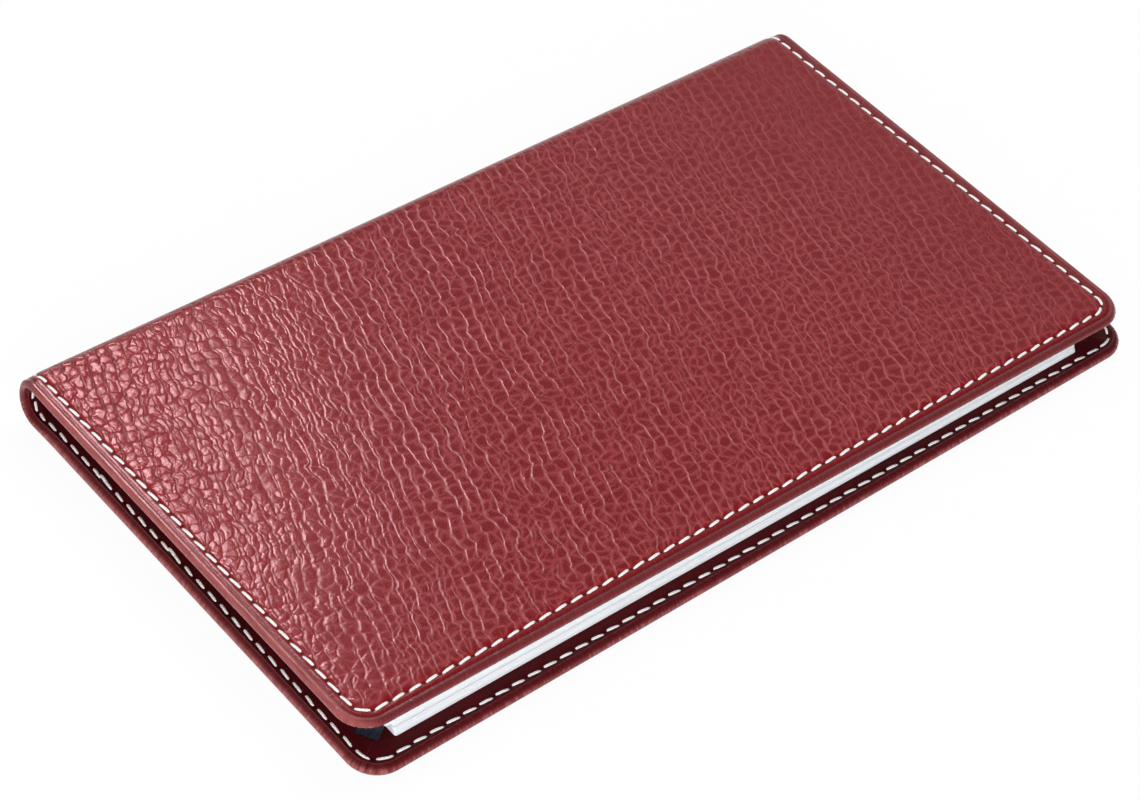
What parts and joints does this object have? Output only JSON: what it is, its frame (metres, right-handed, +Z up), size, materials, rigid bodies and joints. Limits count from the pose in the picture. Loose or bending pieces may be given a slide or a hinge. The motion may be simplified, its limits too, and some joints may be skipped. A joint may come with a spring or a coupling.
{
  "type": "folding pocket calendar",
  "caption": "Closed pocket calendar: grained red leather case with turned, white-stitched edges and a soft round spine, holding a paper insert whose leaves turn as it opens.",
  "frame": {"origin": "on the table, under the middle of the closed case", "axes": "+X from the spine to the fore-edge, +Y along the spine towards the head, +Z up through the front cover"},
  "size_m": [0.099, 0.173, 0.0092],
  "materials": {
    "grained_leather": "satin",
    "lining": "satin",
    "board": "matte",
    "paper": "matte",
    "card": "matte",
    "ribbon": "satin",
    "staple": "satin"
  },
  "bodies": {
    "back_case": {"back_cover_leather": "grained_leather", "back_board": "board", "back_lining": "lining", "back_pocket": "lining", "back_card": "card", "staple_1": "staple", "staple_2": "staple"},
    "spine_strip_1": {"spine_leather_1": "grained_leather", "spine_lining_1": "lining"},
    "spine_strip_2": {"spine_leather_2": "grained_leather", "spine_lining_2": "lining"},
    "spine_strip_3": {"spine_leather_3": "grained_leather", "spine_lining_3": "lining"},
    "spine_strip_4": {"spine_leather_4": "grained_leather", "spine_lining_4": "lining"},
    "spine_strip_5": {"spine_leather_5": "grained_leather", "spine_lining_5": "lining"},
    "spine_strip_6": {"spine_leather_6": "grained_leather", "spine_lining_6": "lining"},
    "spine_strip_7": {"spine_leather_7": "grained_leather", "spine_lining_7": "lining"},
    "front_case": {"front_cover_leather": "grained_leather", "front_board": "board", "front_lining": "lining", "front_pocket": "lining"},
    "leaves_01": {"page_section_01": "paper"},
    "leaves_02": {"page_section_02": "paper"},
    "leaves_03": {"page_section_03": "paper"},
    "leaves_04": {"page_section_04": "paper"},
    "leaves_05": {"page_section_05": "paper"},
    "leaves_06": {"page_section_06": "paper", "ribbon_marker": "ribbon"},
    "leaves_07": {"page_section_07": "paper"},
    "leaves_08": {"page_section_08": "paper"},
    "leaves_09": {"page_section_09": "paper"},
    "leaves_10": {"page_section_10": "paper"},
    "leaves_11": {"page_section_11": "paper"},
    "leaves_12": {"page_section_12": "paper"},
    "front_leaf": {"front_card": "card"}
  },
  "joints": [
    {"name": "front_card_turn", "type": "hinge", "parent": "back_case", "child": "front_leaf", "pos_m": [-0.04102, 0, 0.0048], "axis": [0, -1, 0], "range_deg": [0, 180]},
    {"name": "page_turn_01", "type": "hinge", "parent": "back_case", "child": "leaves_01", "pos_m": [-0.04102, 0, 0.0048], "axis": [0, -1, 0], "range_deg": [0, 1.26]},
    {"name": "page_turn_02", "type": "hinge", "parent": "back_case", "child": "leaves_02", "pos_m": [-0.04102, 0, 0.0048], "axis": [0, -1, 0], "range_deg": [0, 3.42]},
    {"name": "page_turn_03", "type": "hinge", "parent": "back_case", "child": "leaves_03", "pos_m": [-0.04102, 0, 0.0048], "axis": [0, -1, 0], "range_deg": [0, 6.48]},
    {"name": "page_turn_04", "type": "hinge", "parent": "back_case", "child": "leaves_04", "pos_m": [-0.04102, 0, 0.0048], "axis": [0, -1, 0], "range_deg": [0, 9.72]},
    {"name": "page_turn_05", "type": "hinge", "parent": "back_case", "child": "leaves_05", "pos_m": [-0.04102, 0, 0.0048], "axis": [0, -1, 0], "range_deg": [0, 13.68]},
    {"name": "page_turn_06", "type": "hinge", "parent": "back_case", "child": "leaves_06", "pos_m": [-0.04102, 0, 0.0048], "axis": [0, -1, 0], "range_deg": [0, 18]},
    {"name": "page_turn_07", "type": "hinge", "parent": "back_case", "child": "leaves_07", "pos_m": [-0.04102, 0, 0.0048], "axis": [0, -1, 0], "range_deg": [0, 162]},
    {"name": "page_turn_08", "type": "hinge", "parent": "back_case", "child": "leaves_08", "pos_m": [-0.04102, 0, 0.0048], "axis": [0, -1, 0], "range_deg": [0, 166.5]},
    {"name": "page_turn_09", "type": "hinge", "parent": "back_case", "child": "leaves_09", "pos_m": [-0.04102, 0, 0.0048], "axis": [0, -1, 0], "range_deg": [0, 170.28]},
    {"name": "page_turn_10", "type": "hinge", "parent": "back_case", "child": "leaves_10", "pos_m": [-0.04102, 0, 0.0048], "axis": [0, -1, 0], "range_deg": [0, 173.7]},
    {"name": "page_turn_11", "type": "hinge", "parent": "back_case", "child": "leaves_11", "pos_m": [-0.04102, 0, 0.0048], "axis": [0, -1, 0], "range_deg": [0, 176.58]},
    {"name": "page_turn_12", "type": "hinge", "parent": "back_case", "child": "leaves_12", "pos_m": [-0.04102, 0, 0.0048], "axis": [0, -1, 0], "range_deg": [0, 178.74]},
    {"name": "spine_bend_back", "type": "hinge", "parent": "back_case", "child": "spine_strip_4", "pos_m": [-0.0484, 0, 0.00096], "axis": [0, -1, 0], "range_deg": [0, 90]},
    {"name": "spine_bend_front", "type": "hinge", "parent": "spine_strip_4", "child": "front_case", "pos_m": [-0.0484, 0, 0.00828], "axis": [0, -1, 0], "range_deg": [0, 90]},
    {"name": "spine_fold_3", "type": "hinge", "parent": "spine_strip_4", "child": "spine_strip_3", "pos_m": [-0.04937, 0, 0.00359], "axis": [0, 1, 0], "range_deg": [0, 25.71]},
    {"name": "spine_fold_2", "type": "hinge", "parent": "spine_strip_3", "child": "spine_strip_2", "pos_m": [-0.04848, 0, 0.00174], "axis": [0, 1, 0], "range_deg": [0, 25.71]},
    {"name": "spine_fold_1", "type": "hinge", "parent": "spine_strip_2", "child": "spine_strip_1", "pos_m": [-0.04687, 0, 0.00046], "axis": [0, 1, 0], "range_deg": [0, 25.71]},
    {"name": "spine_fold_5", "type": "hinge", "parent": "spine_strip_4", "child": "spine_strip_5", "pos_m": [-0.04937, 0, 0.00565], "axis": [0, -1, 0], "range_deg": [0, 25.71]},
    {"name": "spine_fold_6", "type": "hinge", "parent": "spine_strip_5", "child": "spine_strip_6", "pos_m": [-0.04848, 0, 0.0075], "axis": [0, -1, 0], "range_deg": [0, 25.71]},
    {"name": "spine_fold_7", "type": "hinge", "parent": "spine_strip_6", "child": "spine_strip_7", "pos_m": [-0.04687, 0, 0.00878], "axis": [0, -1, 0], "range_deg": [0, 25.71]}
  ],
  "couplings": [
    {"joint": "page_turn_01", "follows": "front_card_turn", "ratio": 0.007},
    {"joint": "page_turn_02", "follows": "front_card_turn", "ratio": 0.019},
    {"joint": "page_turn_03", "follows": "front_card_turn", "ratio": 0.036},
    {"joint": "page_turn_04", "follows": "front_card_turn", "ratio": 0.054},
    {"joint": "page_turn_05", "follows": "front_card_turn", "ratio": 0.076},
    {"joint": "page_turn_06", "follows": "front_card_turn", "ratio": 0.1},
    {"joint": "page_turn_07", "follows": "front_card_turn", "ratio": 0.9},
    {"joint": "page_turn_08", "follows": "front_card_turn", "ratio": 0.925},
    {"joint": "page_turn_09", "follows": "front_card_turn", "ratio": 0.946},
    {"joint": "page_turn_10", "follows": "front_card_turn", "ratio": 0.965},
    {"joint": "page_turn_11", "follows": "front_card_turn", "ratio": 0.981},
    {"joint": "page_turn_12", "follows": "front_card_turn", "ratio": 0.993},
    {"joint": "spine_bend_back", "follows": "front_card_turn", "ratio": 0.5},
    {"joint": "spine_bend_front", "follows": "front_card_turn", "ratio": 0.5},
    {"joint": "spine_fold_1", "follows": "front_card_turn", "ratio": 0.14286},
    {"joint": "spine_fold_2", "follows": "front_card_turn", "ratio": 0.14286},
    {"joint": "spine_fold_3", "follows": "front_card_turn", "ratio": 0.14286},
    {"joint": "spine_fold_5", "follows": "front_card_turn", "ratio": 0.14286},
    {"joint": "spine_fold_6", "follows": "front_card_turn", "ratio": 0.14286},
    {"joint": "spine_fold_7", "follows": "front_card_turn", "ratio": 0.14286}
  ]
}
